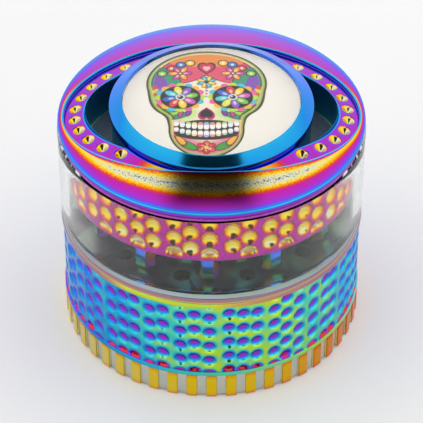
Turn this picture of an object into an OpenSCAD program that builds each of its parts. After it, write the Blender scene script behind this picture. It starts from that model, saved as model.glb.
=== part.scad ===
// A four-section screw-together herb and spice grinder in cast metal, in millimetres.
// +Z is up. The origin is the centre of the base's flat underside.
// From the bottom: pollen cup, dimpled body with its mesh screen, grinding chamber with a clear
// window ring, and a lid with an eye-shaped finger recess and a round medallion.

/* [Outside sizes] */
// Nominal diameter, at the metal rim and the lid's rolled edge
grinder_d = 63.0; // [60:0.1:80]
// How far the base's blocks stand outside the nominal radius
base_proud = 0.1; // [0:0.05:0.5]
// How far the dimpled wall lies inside the nominal radius
body_inset = 0.2; // [0:0.05:0.6]
// How far the window stands outside the nominal radius
window_proud = 0.1; // [0:0.05:1]
// Height of the castellated base band
base_h = 5.9; // [5:0.1:10]
// Height of the body from its seat to its top face
body_h = 20.3; // [16:0.1:40]
// Height of the metal rim under the window
rim_h = 2.3; // [1.8:0.1:5]
// Height of the clear window ring
window_h = 18.9; // [15:0.1:30]
// Rise of the lid's dome from its rolled edge to the medallion
dome_rise = 4.0; // [3:0.1:6]
// Height of the lid's skirt below its rolled edge
skirt_h = 11.8; // [8:0.1:15]

/* [Walls] */
// Thickness of the pollen cup's floor
cup_floor_t = 1.4; // [1:0.1:3]
// Wall of the pollen cup at its socket
cup_wall = 2.2; // [1.6:0.1:4]
// Wall of the body at its upper socket
body_wall = 1.9; // [1.5:0.1:4]
// Wall of the collecting chamber inside the body
chamber_wall = 2.7; // [2.2:0.1:6]
// Thickness of the grinding floor
floor_t = 2.7; // [2:0.1:5]
// Wall of the window ring
window_wall = 1.65; // [1.2:0.05:3]
// Wall of the lid's skirt
skirt_wall = 1.8; // [1.2:0.1:4]
// Gap between the lid's skirt and the window
skirt_side_gap = 0.5; // [0.3:0.05:1]
// Thickness of the lid under its finger pockets
lid_plate_t = 1.5; // [1:0.1:3]
// Height of the plain lips at the body's two ends
lip_h = 1.1; // [0.6:0.1:2]
// How far those lips stand outside the dimpled wall
lip_proud = 0.3; // [0.1:0.05:0.5]

/* [Castellations] */
// Number of raised blocks round the base
block_count = 48; // [12:1:60]
// Depth of the slots between the blocks
slot_depth = 0.45; // [0.2:0.05:1]
// Share of the pitch that a slot takes
slot_share = 0.48; // [0.3:0.01:0.7]

/* [Screwed joints] */
// Length of each male spigot
spigot_l = 3.1; // [2.5:0.1:5]
// Radial wall of each male spigot
spigot_wall = 1.7; // [1.2:0.1:3]
// Radial clearance between a spigot and its socket
thread_gap = 0.08; // [0.05:0.01:0.1]
// Gap below the end of a spigot
spigot_end_gap = 0.3; // [0.1:0.1:1]

/* [Screen] */
// Thickness of the mesh screen
mesh_t = 0.3; // [0.2:0.05:0.6]
// Radial width of the crimped ring round the screen
screen_ring_w = 1.5; // [1:0.1:3]
// Thickness of the crimped ring on each side of the mesh
screen_ring_t = 0.4; // [0.2:0.05:1]
// Wire diameter of the clip that holds the screen up
clip_wire_d = 0.9; // [0.6:0.1:1.5]
// Width of the ledge that the screen seats against
ledge_w = 1.1; // [0.6:0.1:2]
// Thickness of the web that joins the lower spigot to the body's wall
web_t = 1.15; // [0.8:0.05:3]

/* [Teeth and holes] */
// Number of teeth in the lid's outer ring
outer_ring_n = 12; // [6:1:14]
// Number of teeth in the floor's outer ring
floor_ring_n = 12; // [6:1:12]
// Number of teeth in the lid's inner ring
inner_ring_n = 8; // [4:1:9]
// Number of teeth in the floor's inner ring
hub_ring_n = 5; // [3:1:6]
// Gap between the outer teeth and the lid's wall
wall_gap = 0.85; // [0.5:0.05:2]
// Gap between the innermost teeth and the pivot's boss
boss_gap = 1.9; // [0.5:0.1:4]
// Tooth size across its two cutting edges
tooth_w = 5.0; // [3:0.1:6]
// Tooth size along the radius
tooth_depth = 3.2; // [2:0.1:3.6]
// Width of the narrow flat at a tooth's back and front
tooth_flat = 2.3; // [1:0.1:3]
// Gap between a tooth's tip and the face that it sweeps over
tooth_tip_gap = 0.6; // [0.3:0.1:2]
// Diameter of the holes in the grinding floor
hole_d = 3.6; // [2:0.1:4.5]
// Turn of the lid's teeth from the front
tooth_turn = -1.6; // [-15:0.1:15]
// Turn of the floor's holes and teeth from the front
floor_turn = 1.4; // [-15:0.1:15]

/* [Pivot and magnets] */
// Diameter of the lid's pivot
pivot_d = 9.0; // [7:0.1:12]
// Radial running clearance of the pivot in the floor's boss
pivot_gap = 0.06; // [0.02:0.01:0.1]
// Wall of the floor's boss round the pivot
boss_wall = 1.5; // [1:0.1:2.5]
// Depth of the pivot in the boss
pivot_depth = 2.4; // [1.5:0.1:4]
// Diameter of the two disc magnets
magnet_d = 6.0; // [4:0.1:8]
// Thickness of each disc magnet
magnet_t = 2.0; // [1:0.1:3]
// Gap between the two magnets when the lid is shut
magnet_gap = 0.3; // [0.1:0.1:1]

/* [Lid top] */
// Width of the rim left outside the eye-shaped recess at its two ends
eye_rim = 1.3; // [1:0.1:4]
// How far the recess reaches in front of and behind the medallion's seat
eye_over = 0.2; // [0.1:0.1:3]
// Depth of the recess band below the dome
eye_depth = 0.8; // [0.4:0.1:1.2]
// Width of the recess band round the finger pockets
band_w = 4.4; // [3.4:0.1:6]
// Depth of the finger pockets below the top of the dome
pocket_depth = 8.8; // [6:0.1:9]
// Number of conical pits on each side
pit_count = 10; // [4:1:12]
// Diameter of a conical pit
pit_d = 2.4; // [1:0.1:2.6]
// Depth of a conical pit
pit_depth = 1.15; // [0.5:0.05:1.4]

/* [Medallion] */
// Outside diameter of the bezel
bezel_d = 41.8; // [38:0.1:44]
// Width of the bezel's sloping face
bezel_w = 2.7; // [1.5:0.1:4]
// Height of the bezel above its seat
bezel_h = 2.9; // [2:0.1:5]
// Depth of the bezel's seat below the dome
bezel_seat = 1.3; // [0.6:0.1:2]
// Wall of the hollow pillar under the medallion
pillar_wall = 3.6; // [3:0.1:8]
// Radial gap round the bezel in its seat
bezel_gap = 0.1; // [0.05:0.01:0.3]
// Thickness of the adhesive pad
pad_t = 0.3; // [0.2:0.05:1]
// Thickness of the printed disc
print_t = 0.5; // [0.2:0.05:1]
// Height of the clear dome at its edge
glaze_edge = 1.5; // [0.8:0.1:2.5]
// Rise of the clear dome from its edge to its middle
glaze_rise = 1.3; // [0.5:0.1:2.5]

/* [Sliding fits] */
// Thickness of the nylon glide ring
glide_t = 0.5; // [0.3:0.1:1]
// Depth of the glide ring's collar inside the window
glide_collar = 1.0; // [0.5:0.1:3]
// Radial gap between the skirt and the glide ring
skirt_gap = 0.08; // [0.05:0.01:0.3]
// Play above and below the glide ring
glide_play = 0.05; // [0.02:0.01:0.2]
// Thickness of the seal under the window
seal_t = 0.3; // [0.2:0.1:0.6]

/* [Hidden] */

$fn = 96;
cut = 0.5;

// Radii of the outer faces
grinder_r = grinder_d / 2;
base_r = grinder_r + base_proud;
body_r = grinder_r - body_inset;
window_r = grinder_r + window_proud;
window_bore_r = window_r - window_wall;

// Heights, from the bottom up
body_z = base_h;
body_top = body_z + body_h;
rim_top = body_top + rim_h;
floor_z = rim_top;
window_z = rim_top + seal_t;
window_top = window_z + window_h;
glide_z = window_top + glide_play;
lid_z = glide_z + glide_t + glide_play;
skirt_bottom = lid_z - skirt_h;

// Screwed joint between the cup and the body
low_socket_r = base_r - cup_wall - slot_depth;
low_spigot_r = low_socket_r - thread_gap;
low_bore_r = low_spigot_r - spigot_wall;
low_spigot_z = body_z - spigot_l;

// Screwed joint between the body and the grinding floor
top_socket_r = body_r - body_wall;
top_spigot_r = top_socket_r - thread_gap;
top_bore_r = top_spigot_r - spigot_wall;
top_spigot_z = body_top - spigot_l;
socket_floor = top_spigot_z - spigot_end_gap;
chamber_r = body_r - chamber_wall;
chamber_z = body_z + web_t;

// Bevel at the top of the metal rim
rim_bevel_h = 1.1;
rim_bevel_w = 0.5;
rim_top_r = grinder_r - rim_bevel_w;

// Screen stack, seated against the body's ledge and held by the clip in a groove
stack_t = mesh_t + 2 * screen_ring_t;
clip_z = low_spigot_z + clip_wire_d;
stack_z = clip_z + clip_wire_d / 2;
ledge_z = stack_z + stack_t;
ledge_r = low_bore_r - ledge_w;
stack_gap = 0.1;
stack_r = low_bore_r - stack_gap;
clip_groove = 0.35;
clip_play = 0.05;
clip_r = low_bore_r + clip_groove - clip_play - clip_wire_d / 2;
clip_mouth = 14;

// Lid levels
edge_r = 0.9;
shoulder_inset = 1.0;
shoulder_rise = 1.6;
dome_z = lid_z + dome_rise;
bezel_r = bezel_d / 2;
seat_r = bezel_r + bezel_gap;
seat_z = dome_z - bezel_seat;
skirt_r = window_bore_r - skirt_side_gap;
cavity_r = skirt_r - skirt_wall;
shoulder_r = grinder_r - shoulder_inset;
shoulder_z = lid_z + shoulder_rise;
dome_r = ((shoulder_r * shoulder_r - bezel_r * bezel_r) / (dome_z - shoulder_z)
          + (dome_z - shoulder_z)) / 2;
dome_centre = dome_z - sqrt(dome_r * dome_r - bezel_r * bezel_r);
pillar_inset = 0.5;
pillar_r = bezel_r - pillar_inset;
core_r = pillar_r - pillar_wall;
pocket_z = dome_z - pocket_depth;
plate_z = pocket_z - lid_plate_t;

// The eye-shaped recess, the opening inside it and the oval that the pits lie on
eye_a = grinder_r - eye_rim;
eye_b = seat_r + eye_over;
pocket_a = eye_a - band_w;
pocket_b = eye_b - band_w;
pit_a = (eye_a + pocket_a) / 2;
pit_b = (eye_b + pocket_b) / 2 - 0.4;
pit_arc = 100;

// Teeth levels
lid_tooth_z = floor_z + tooth_tip_gap;
floor_tooth_top = plate_z - tooth_tip_gap;

// Pivot, boss and magnets on the axis
pivot_r = pivot_d / 2;
boss_bore_r = pivot_r + pivot_gap;
boss_r = boss_bore_r + boss_wall;
magnet_r = magnet_d / 2;
magnet_skin = 0.4;
magnet_lip = 0.4;
low_magnet_z = floor_z - floor_t + magnet_lip + magnet_skin;
low_magnet_top = low_magnet_z + magnet_t;
boss_floor = low_magnet_top + magnet_skin;
pivot_z = boss_floor + magnet_gap;
boss_top = pivot_z + pivot_depth;

// Rings of teeth, evenly spaced from the boss to the lid's wall
hub_ring_r = boss_r + boss_gap + tooth_depth / 2;
outer_ring_r = cavity_r - wall_gap - tooth_depth / 2;
ring_step = (outer_ring_r - hub_ring_r) / 3;
inner_ring_r = hub_ring_r + ring_step;
floor_ring_r = inner_ring_r + ring_step;

// Medallion, built up from the bezel's seat
bezel_top = seat_z + bezel_h;
disc_r = bezel_r - bezel_w;
print_z = seat_z + pad_t;
glaze_z = print_z + print_t;
disc_gap = 0.1;
glaze_r = disc_r - disc_gap;

// A ring with square corners
module ring(r_out, r_in, h, z) {
    translate([0, 0, z])
        difference() {
            cylinder(r = r_out, h = h);
            translate([0, 0, -cut]) cylinder(r = r_in, h = h + 2 * cut);
        }
}

// One tooth's plan: pointed at both cutting edges, with a narrow flat at its front and back
module tooth_plan() {
    polygon([
        [tooth_depth / 2, tooth_flat / 2], [0, tooth_w / 2], [-tooth_depth / 2, tooth_flat / 2],
        [-tooth_depth / 2, -tooth_flat / 2], [0, -tooth_w / 2], [tooth_depth / 2, -tooth_flat / 2]
    ]);
}

// A ring of teeth between two heights, the first one turned from the front by an angle
module tooth_ring(r, count, z_low, z_high, turn) {
    for (i = [0 : count - 1])
        rotate([0, 0, -90 + turn + i * 360 / count])
            translate([r, 0, z_low])
                linear_extrude(z_high - z_low) tooth_plan();
}

// A ring of round holes through the grinding floor
module hole_ring(r, count, turn) {
    for (i = [0 : count - 1])
        rotate([0, 0, -90 + turn + i * 360 / count])
            translate([r, 0, floor_z - floor_t - cut])
                cylinder(d = hole_d, h = floor_t + 2 * cut, $fn = 48);
}

// An upright elliptical column
module oval(a, b, z_low, z_high) {
    translate([0, 0, z_low])
        scale([a / b, 1, 1]) cylinder(r = b, h = z_high - z_low);
}

module base_cup() {
    pitch = 360 / block_count;
    slot_w = 2 * PI * base_r / block_count * slot_share;
    color("gold")
        difference() {
            cylinder(r = base_r, h = base_h);
            translate([0, 0, cup_floor_t]) cylinder(r = low_bore_r - ledge_w, h = base_h);
            translate([0, 0, low_spigot_z - spigot_end_gap]) cylinder(r = low_socket_r, h = base_h);
            for (i = [0 : block_count - 1])
                rotate([0, 0, -90 + (i + 0.5) * pitch])
                    translate([base_r - slot_depth, -slot_w / 2, -cut])
                        cube([slot_depth + cut, slot_w, base_h + 2 * cut]);
        }
}

module screen_clip() {
    color("silver")
        difference() {
            translate([0, 0, clip_z])
                rotate_extrude() translate([clip_r, 0]) circle(d = clip_wire_d, $fn = 32);
            rotate([0, 0, -clip_mouth / 2])
                translate([0, 0, clip_z - clip_wire_d])
                    rotate_extrude(angle = clip_mouth)
                        translate([clip_r - clip_wire_d, 0]) square(2 * clip_wire_d);
        }
}

module screen_mesh() {
    color("gainsboro")
        translate([0, 0, stack_z + screen_ring_t]) cylinder(r = stack_r, h = mesh_t);
}

module screen_ring_lower() {
    color("silver") ring(stack_r, stack_r - screen_ring_w, screen_ring_t, stack_z);
}

module screen_ring_upper() {
    color("silver") ring(stack_r, stack_r - screen_ring_w, screen_ring_t, ledge_z - screen_ring_t);
}

module body_tube() {
    lip_r = body_r + lip_proud;
    color("turquoise")
        difference() {
            union() {
                translate([0, 0, body_z]) cylinder(r = body_r, h = body_h);
                translate([0, 0, body_z]) cylinder(r = lip_r, h = lip_h);
                translate([0, 0, body_top - lip_h]) cylinder(r = lip_r, h = lip_h);
                translate([0, 0, low_spigot_z]) cylinder(r = low_spigot_r, h = spigot_l + cut);
            }
            translate([0, 0, low_spigot_z - cut])
                cylinder(r = low_bore_r, h = ledge_z - low_spigot_z + cut);
            translate([0, 0, low_spigot_z]) cylinder(r = ledge_r, h = body_h + spigot_l);
            translate([0, 0, chamber_z]) cylinder(r = chamber_r, h = body_h);
            translate([0, 0, socket_floor]) cylinder(r = top_socket_r, h = body_h);
            ring(low_bore_r + clip_groove, low_bore_r - cut, clip_wire_d + 2 * clip_play,
                 clip_z - clip_wire_d / 2 - clip_play);
        }
}

module window_seal() {
    seal_inset = 0.2;
    color("honeydew") ring(rim_top_r - seal_inset, window_bore_r + seal_inset, seal_t, rim_top);
}

module grinding_floor() {
    boss_z = low_magnet_z - magnet_skin;
    color("plum")
        difference() {
            union() {
                translate([0, 0, rim_top - floor_t]) cylinder(r = top_spigot_r, h = floor_t);
                translate([0, 0, body_top])
                    rotate_extrude()
                        polygon([
                            [top_spigot_r - cut, 0], [grinder_r, 0], [grinder_r, rim_h - rim_bevel_h],
                            [rim_top_r, rim_h], [top_spigot_r - cut, rim_h]
                        ]);
                ring(top_spigot_r, top_bore_r, spigot_l + cut, top_spigot_z);
                translate([0, 0, boss_z]) cylinder(r = boss_r, h = boss_top - boss_z);
            }
            translate([0, 0, boss_floor]) cylinder(r = boss_bore_r, h = boss_top);
            translate([0, 0, boss_z - cut]) cylinder(r = magnet_r, h = low_magnet_top - boss_z + cut);
            hole_ring(outer_ring_r, outer_ring_n, floor_turn + 180 / outer_ring_n);
            hole_ring(inner_ring_r, inner_ring_n, floor_turn);
            hole_ring(floor_ring_r, floor_ring_n, floor_turn);
        }
}

module floor_teeth_outer() {
    color("orchid")
        tooth_ring(floor_ring_r, floor_ring_n, floor_z, floor_tooth_top, floor_turn + 180 / floor_ring_n);
}

module floor_teeth_inner() {
    color("orchid") tooth_ring(hub_ring_r, hub_ring_n, floor_z, floor_tooth_top, floor_turn);
}

module floor_magnet() {
    color("dimgray") translate([0, 0, low_magnet_z]) cylinder(r = magnet_r, h = magnet_t);
}

module window_ring() {
    color("azure", 0.4) ring(window_r, window_bore_r, window_h, window_z);
}

module glide_ring() {
    edge_inset = 0.4;
    color("white")
        union() {
            ring(grinder_r - edge_inset, skirt_r + skirt_gap, glide_t, glide_z);
            ring(window_bore_r - skirt_gap, skirt_r + skirt_gap,
                 glide_collar + glide_t / 2, glide_z - glide_collar);
        }
}

// The lid's outer form: rolled edge, spherical dome and skirt
module lid_form() {
    intersection() {
        translate([0, 0, lid_z])
            rotate_extrude() {
                square([grinder_r - edge_r, dome_rise + 1]);
                translate([grinder_r - edge_r, edge_r]) circle(r = edge_r, $fn = 48);
            }
        translate([0, 0, dome_centre]) sphere(r = dome_r, $fn = 200);
    }
}

// The space above a copy of the dome that is sunk by a depth
module above_dome(depth) {
    difference() {
        translate([0, 0, seat_z - 4]) cylinder(r = grinder_d, h = 12);
        translate([0, 0, dome_centre]) sphere(r = dome_r - depth, $fn = 200);
    }
}

// Where a conical pit's tip lies: on an oval midway along the recess band, below its floor
function pit_tip(side, i) =
    let (turn = (i / (pit_count - 1) - 0.5) * pit_arc)
    let (x = side * pit_a * cos(turn))
    let (y = pit_b * sin(turn))
    [x, y, dome_centre + sqrt(pow(dome_r - eye_depth, 2) - x * x - y * y) - pit_depth];

module pits() {
    overshoot = 1.2;
    for (side = [-1, 1])
        for (i = [0 : pit_count - 1])
            translate(pit_tip(side, i))
                cylinder(r1 = 0, r2 = pit_d / 2 * overshoot, h = pit_depth * overshoot, $fn = 24);
}

module lid_shell() {
    color("mediumorchid")
        difference() {
            union() {
                lid_form();
                translate([0, 0, skirt_bottom]) cylinder(r = skirt_r, h = skirt_h + cut);
            }
            translate([0, 0, skirt_bottom - cut]) cylinder(r = cavity_r, h = plate_z - skirt_bottom + cut);
            translate([0, 0, seat_z]) cylinder(r = seat_r, h = dome_rise + 6);
            translate([0, 0, pocket_z]) cylinder(r = core_r, h = seat_z - pocket_z + cut);
            intersection() {
                oval(eye_a, eye_b, seat_z - 3, dome_z + 3);
                above_dome(eye_depth);
            }
            difference() {
                oval(pocket_a, pocket_b, pocket_z, dome_z + 3);
                translate([0, 0, pocket_z - cut]) cylinder(r = pillar_r, h = 20);
            }
            pits();
        }
}

module lid_teeth_outer() {
    color("deepskyblue") tooth_ring(outer_ring_r, outer_ring_n, lid_tooth_z, plate_z, tooth_turn);
}

module lid_teeth_inner() {
    color("deepskyblue") tooth_ring(inner_ring_r, inner_ring_n, lid_tooth_z, plate_z, tooth_turn);
}

module lid_pivot() {
    color("silver")
        difference() {
            translate([0, 0, pivot_z]) cylinder(r = pivot_r, h = plate_z - pivot_z);
            translate([0, 0, pivot_z - cut]) cylinder(r = magnet_r, h = magnet_t + cut);
        }
}

module lid_magnet() {
    color("dimgray") translate([0, 0, pivot_z]) cylinder(r = magnet_r, h = magnet_t);
}

module medallion_bezel() {
    color("royalblue")
        translate([0, 0, seat_z])
            rotate_extrude()
                polygon([
                    [disc_r, 0], [bezel_r, 0], [bezel_r, bezel_seat + 0.35],
                    [disc_r + 0.15, bezel_h], [disc_r, bezel_h]
                ]);
}

module medallion_pad() {
    color("white") ring(glaze_r, core_r + 0.1, pad_t, seat_z);
}

module medallion_print() {
    color("ivory") translate([0, 0, print_z]) cylinder(r = glaze_r, h = print_t);
}

module medallion_dome() {
    lens_r = (glaze_r * glaze_r / glaze_rise + glaze_rise) / 2;
    color("aliceblue", 0.4)
        intersection() {
            translate([0, 0, glaze_z]) cylinder(r = glaze_r, h = glaze_edge + glaze_rise);
            translate([0, 0, glaze_z + glaze_edge + glaze_rise - lens_r]) sphere(r = lens_r, $fn = 200);
        }
}

base_cup();
screen_clip();
screen_mesh();
screen_ring_lower();
screen_ring_upper();
body_tube();
window_seal();
grinding_floor();
floor_teeth_outer();
floor_teeth_inner();
floor_magnet();
window_ring();
glide_ring();
lid_shell();
lid_teeth_outer();
lid_teeth_inner();
lid_pivot();
lid_magnet();
medallion_bezel();
medallion_pad();
medallion_print();
medallion_dome();
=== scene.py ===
# A four-section herb and spice grinder in rainbow-coated cast metal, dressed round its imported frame.
import math
import bmesh
import bpy
import numpy as np
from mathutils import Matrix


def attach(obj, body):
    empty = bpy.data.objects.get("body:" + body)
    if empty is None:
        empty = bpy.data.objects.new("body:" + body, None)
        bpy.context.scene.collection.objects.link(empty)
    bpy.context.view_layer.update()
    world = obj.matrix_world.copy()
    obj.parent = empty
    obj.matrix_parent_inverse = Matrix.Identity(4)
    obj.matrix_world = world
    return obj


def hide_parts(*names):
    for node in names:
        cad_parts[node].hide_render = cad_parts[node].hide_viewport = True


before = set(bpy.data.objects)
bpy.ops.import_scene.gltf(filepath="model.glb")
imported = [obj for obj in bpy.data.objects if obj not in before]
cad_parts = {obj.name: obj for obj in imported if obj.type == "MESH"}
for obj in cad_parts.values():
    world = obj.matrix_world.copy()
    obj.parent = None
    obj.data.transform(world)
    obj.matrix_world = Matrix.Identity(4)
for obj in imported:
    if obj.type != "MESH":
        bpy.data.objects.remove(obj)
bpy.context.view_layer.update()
mm = 0.001
fullTurn = 2 * math.pi
front = -math.pi / 2


def report(stage):
    # One printed line for each stage
    print("grinder:", stage)


# Sizes that the frame already holds, in millimetres

def meshPoints(mesh):
    # The mesh's corners as rows of x, y, z, from metres to millimetres
    points = np.zeros(len(mesh.vertices) * 3, np.float32)
    mesh.vertices.foreach_get("co", points)
    return points.reshape(-1, 3).astype(float) / mm


def nodePoints(name):
    # The corners of one CAD node
    return meshPoints(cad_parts[name].data)


def heights(name):
    # The node's lowest and highest z
    z = nodePoints(name)[:, 2]
    return z.min(), z.max()


def outerRadius(name):
    # The node's largest distance from the axis
    x, y = nodePoints(name).T[:2]
    return np.hypot(x, y).max()


def radiiNear(name, height):
    # The smallest and largest radius among the node's corners at that height
    x, y, z = nodePoints(name).T
    near = np.abs(z - height) < 0.02
    r = np.hypot(x[near], y[near])
    return r.min(), r.max()


# Meshes: every shape is a grid of points, or several grids joined

def gridParts(points, ends, traits=None):
    # Rows of points go along a profile and columns go round it. "ring" closes the rows on
    # themselves; "poles" shrinks the first and the last row to one point each.
    rows, columns = points.shape[:2]
    i = np.arange(rows if ends == "ring" else rows - 3)[:, None]
    j = np.arange(columns)[None, :]
    up = (i + 1) % rows
    across = (j + 1) % columns
    quads = np.stack([i * columns + j, i * columns + across,
                      up * columns + across, up * columns + j], -1).reshape(-1, 4)
    parts = {"quads": quads, "tris": np.zeros((0, 3), int), "traits": {}}
    if ends == "ring":
        parts["points"] = points.reshape(-1, 3)
    else:
        parts["points"] = np.vstack([points[1:-1].reshape(-1, 3), [points[0].mean(0), points[-1].mean(0)]])
        low = (rows - 2) * columns
        lastRow = low - columns
        j = j.ravel()
        across = across.ravel()
        parts["tris"] = np.vstack([
            np.stack([np.full(columns, low), across, j], 1),
            np.stack([lastRow + j, lastRow + across, np.full(columns, low + 1)], 1)])
    for key, values in (traits or {}).items():
        values = np.broadcast_to(values, (rows, columns))
        if ends == "poles":
            values = np.concatenate([values[1:-1].ravel(), [values[0].mean(), values[-1].mean()]])
        parts["traits"][key] = values.ravel()
    return parts


def joinParts(several):
    # Puts grids in one mesh: each one's corner numbers start where the last one's end
    counts = np.cumsum([0] + [len(p["points"]) for p in several])
    return {
        "points": np.vstack([p["points"] for p in several]),
        "quads": np.vstack([p["quads"] + n for p, n in zip(several, counts)]),
        "tris": np.vstack([p["tris"] + n for p, n in zip(several, counts)]),
        "traits": {k: np.concatenate([p["traits"][k] for p in several]) for k in several[0]["traits"]},
    }


def paintPoints(mesh, traits):
    # Keeps one number for each corner and trait on the mesh, for its material to read
    for key, values in traits.items():
        mesh.attributes.new(key, "FLOAT", "POINT").data.foreach_set("value", values.astype(np.float32))


def addPiece(name, parts, body, material, stands, sharpAngle=38):
    # Turns a grid's corners, quads and tris into one Blender mesh
    mesh = bpy.data.meshes.new(name)
    quads, tris = parts["quads"], parts["tris"]
    corners = np.concatenate([quads.ravel(), tris.ravel()]).astype(np.int32)
    sizes = np.concatenate([np.full(len(quads), 4), np.full(len(tris), 3)])
    starts = np.concatenate([[0], np.cumsum(sizes)[:-1]]).astype(np.int32)
    mesh.vertices.add(len(parts["points"]))
    mesh.vertices.foreach_set("co", (parts["points"] * mm).astype(np.float32).ravel())
    mesh.loops.add(len(corners))
    mesh.loops.foreach_set("vertex_index", corners)
    mesh.polygons.add(len(sizes))
    mesh.polygons.foreach_set("loop_start", starts)
    mesh.update(calc_edges=True)
    paintPoints(mesh, parts["traits"])
    return standIn(mesh, name, body, material, stands, sharpAngle)


def standIn(mesh, name, body, material, stands, sharpAngle):
    # Smooths all but edges past the sharp angle, and hands the mesh over in place of its CAD nodes
    mesh.shade_smooth()
    mesh.set_sharp_from_angle(angle=math.radians(sharpAngle))
    mesh.update()
    mesh.materials.clear()
    mesh.materials.append(material)
    piece = bpy.data.objects.new(name, mesh)
    bpy.context.scene.collection.objects.link(piece)
    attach(piece, body)
    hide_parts(*stands)
    return piece


def outline(corners, closed=True, step=None):
    # A profile of (radius, height, fillet) corners. Each fillet is a short curve pulled towards
    # its corner, and long stretches are cut into steps so that a coating has points to follow.
    soft = []
    for k, (r, z, fillet) in enumerate(corners):
        p = np.array([r, z], float)
        if fillet == 0:
            soft.append(p)
            continue
        back = np.array(corners[k - 1][:2]) - p
        ahead = np.array(corners[(k + 1) % len(corners)][:2]) - p
        a = p + back / np.linalg.norm(back) * fillet
        b = p + ahead / np.linalg.norm(ahead) * fillet
        for t in (0, 0.25, 0.5, 0.75, 1):
            soft.append((1 - t) ** 2 * a + 2 * t * (1 - t) * p + t * t * b)
    if step is None:
        return np.array(soft)
    cut = []
    ends = soft[1:] + [soft[0]] if closed else soft[1:]
    for a, b in zip(soft, ends):
        count = max(1, int(np.linalg.norm(b - a) / step))
        cut += [a + (b - a) * n / count for n in range(count)]
    return np.array(cut if closed else cut + [soft[-1]])


def spin(r, z, angle):
    # Radius and height carried round the axis: x is r cos angle, y is r sin angle
    return np.stack([r * np.cos(angle), r * np.sin(angle), z + 0 * angle], -1)


def fromFront(angle):
    # Degrees round from the front, between -180 and 180
    return np.degrees(angle - front + math.pi) % 360 - 180


def lathe(profile, columns, ends, traits=None):
    # Each profile point is carried once round the axis
    angle = front + np.arange(columns) * fullTurn / columns
    r, z = profile[:, :1], profile[:, 1:]
    return gridParts(spin(r, z, angle), ends, traits(r, z, angle[None, :]) if traits else None)


def plainRing(name, node, body, material, corner, columns, squeeze=0, step=None):
    # A ring of oblong section with softened corners, as wide and as high as its CAD node
    low, high = heights(node)
    inner, outer = radiiNear(node, low)
    low, high = low + squeeze, high - squeeze
    profile = outline([(inner, low, corner), (outer, low, corner), (outer, high, corner),
                       (inner, high, corner)], step=step)
    addPiece(name, lathe(profile, columns, "ring"), body, material, [node])


def bands(t, stops):
    # Reads a value off a list of (place, value) pairs
    places, values = zip(*stops)
    return np.interp(t, places, values)


def easeStep(t, low, high):
    # Rises from 0 to 1 between low and high as 3t^2 - 2t^3
    t = np.clip((t - low) / (high - low), 0, 1)
    return t * t * (3 - 2 * t)


def thread(r, z, angle, low, high, depth, lead):
    # A groove that climbs one lead each turn and fades out at both ends of the spigot
    wave = 0.5 - 0.5 * np.cos(fullTurn * (z / lead - angle / fullTurn))
    fade = easeStep(z, low, low + 0.4) * easeStep(-z, -high, -high + 0.4)
    return r - depth * wave ** 1.5 * fade


def nearestDimple(angle, z, spec, r):
    # Distance to the nearest dimple's centre in dimple radii, and how far below it the point is
    pitch = fullTurn / spec["columns"]
    rng = np.random.default_rng(spec["seed"])
    lift = rng.uniform(-1, 1, spec["columns"]) * spec["unevenHeight"]
    swing = rng.uniform(-1, 1, spec["columns"]) * spec["unevenAngle"] * pitch
    nearest = np.full(np.broadcast(angle, z).shape, 9.0)
    below = np.zeros_like(nearest)
    column = np.round((angle - front) / pitch).astype(int)
    for step in (-1, 0, 1):
        k = (column + step) % spec["columns"]
        level = spec["firstRow"] + lift[k] + spec["stagger"] * spec["rowPitch"] * (k % 2)
        row = np.clip(np.round((z - level) / spec["rowPitch"]), 0, spec["rows"] - 1)
        across = angle - front - (column + step) * pitch - swing[k]
        across = (across + math.pi) % fullTurn - math.pi
        u = across * r / spec["radius"]
        v = (z - level - row * spec["rowPitch"]) / spec["radius"]
        distance = np.hypot(u, v)
        closer = distance < nearest
        nearest = np.where(closer, distance, nearest)
        below = np.where(closer, -v, below)
    return nearest, below


def bowlDepth(distance, steepness):
    # Part of a ball pressed into the wall: its depth in dimple radii, where its rim meets the wall
    # at the slope that steepness gives
    ball = math.sqrt(1 + 1 / steepness ** 2)
    return np.sqrt(ball ** 2 - np.clip(distance, 0, 1) ** 2) - math.sqrt(ball ** 2 - 1)


# Materials. One function turns an sRGB hex value to linear and one adds a node.

def colour(hexValue):
    # The sRGB curve undone: a straight part near black, and a power of 2.4 above it
    channels = [int(hexValue[k:k + 2], 16) / 255 for k in (0, 2, 4)]
    return [c / 12.92 if c <= 0.04045 else ((c + 0.055) / 1.055) ** 2.4 for c in channels] + [1.0]


def addNode(tree, kind, settings=None, inputs=None):
    # A socket given as an input is linked, and any other value is set on the node's own socket
    node = tree.nodes.new(kind)
    for key, value in (settings or {}).items():
        setattr(node, key, value)
    for key, value in (inputs or {}).items():
        if isinstance(value, bpy.types.NodeSocket):
            tree.links.new(value, node.inputs[key])
        else:
            node.inputs[key].default_value = value
    return node


def calc(tree, operation, *values):
    # One sum on sockets or numbers
    return addNode(tree, "ShaderNodeMath", {"operation": operation}, dict(enumerate(values))).outputs[0]


def noise(tree, width, detail=2.0):
    # Soft noise whose features are about that many millimetres wide
    place = addNode(tree, "ShaderNodeTexCoord").outputs["Object"]
    return addNode(tree, "ShaderNodeTexNoise", inputs={
        "Vector": place, "Scale": 1 / (width * mm), "Detail": detail}).outputs["Fac"]


def bumped(tree, height, strength, depth):
    # The normal of a surface whose height differs by that many millimetres
    return addNode(tree, "ShaderNodeBump", inputs={
        "Height": height, "Strength": strength, "Distance": depth * mm}).outputs["Normal"]


def trait(tree, name, output="Fac"):
    # Reads what the mesh keeps at each corner
    return addNode(tree, "ShaderNodeAttribute", {"attribute_name": name}).outputs[output]


def rampColour(tree, value, stops):
    # Turns a value to a colour through a ramp
    ramp = addNode(tree, "ShaderNodeValToRGB", inputs={"Fac": value})
    fillRamp(ramp.color_ramp, stops)
    return ramp.outputs["Color"]


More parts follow.
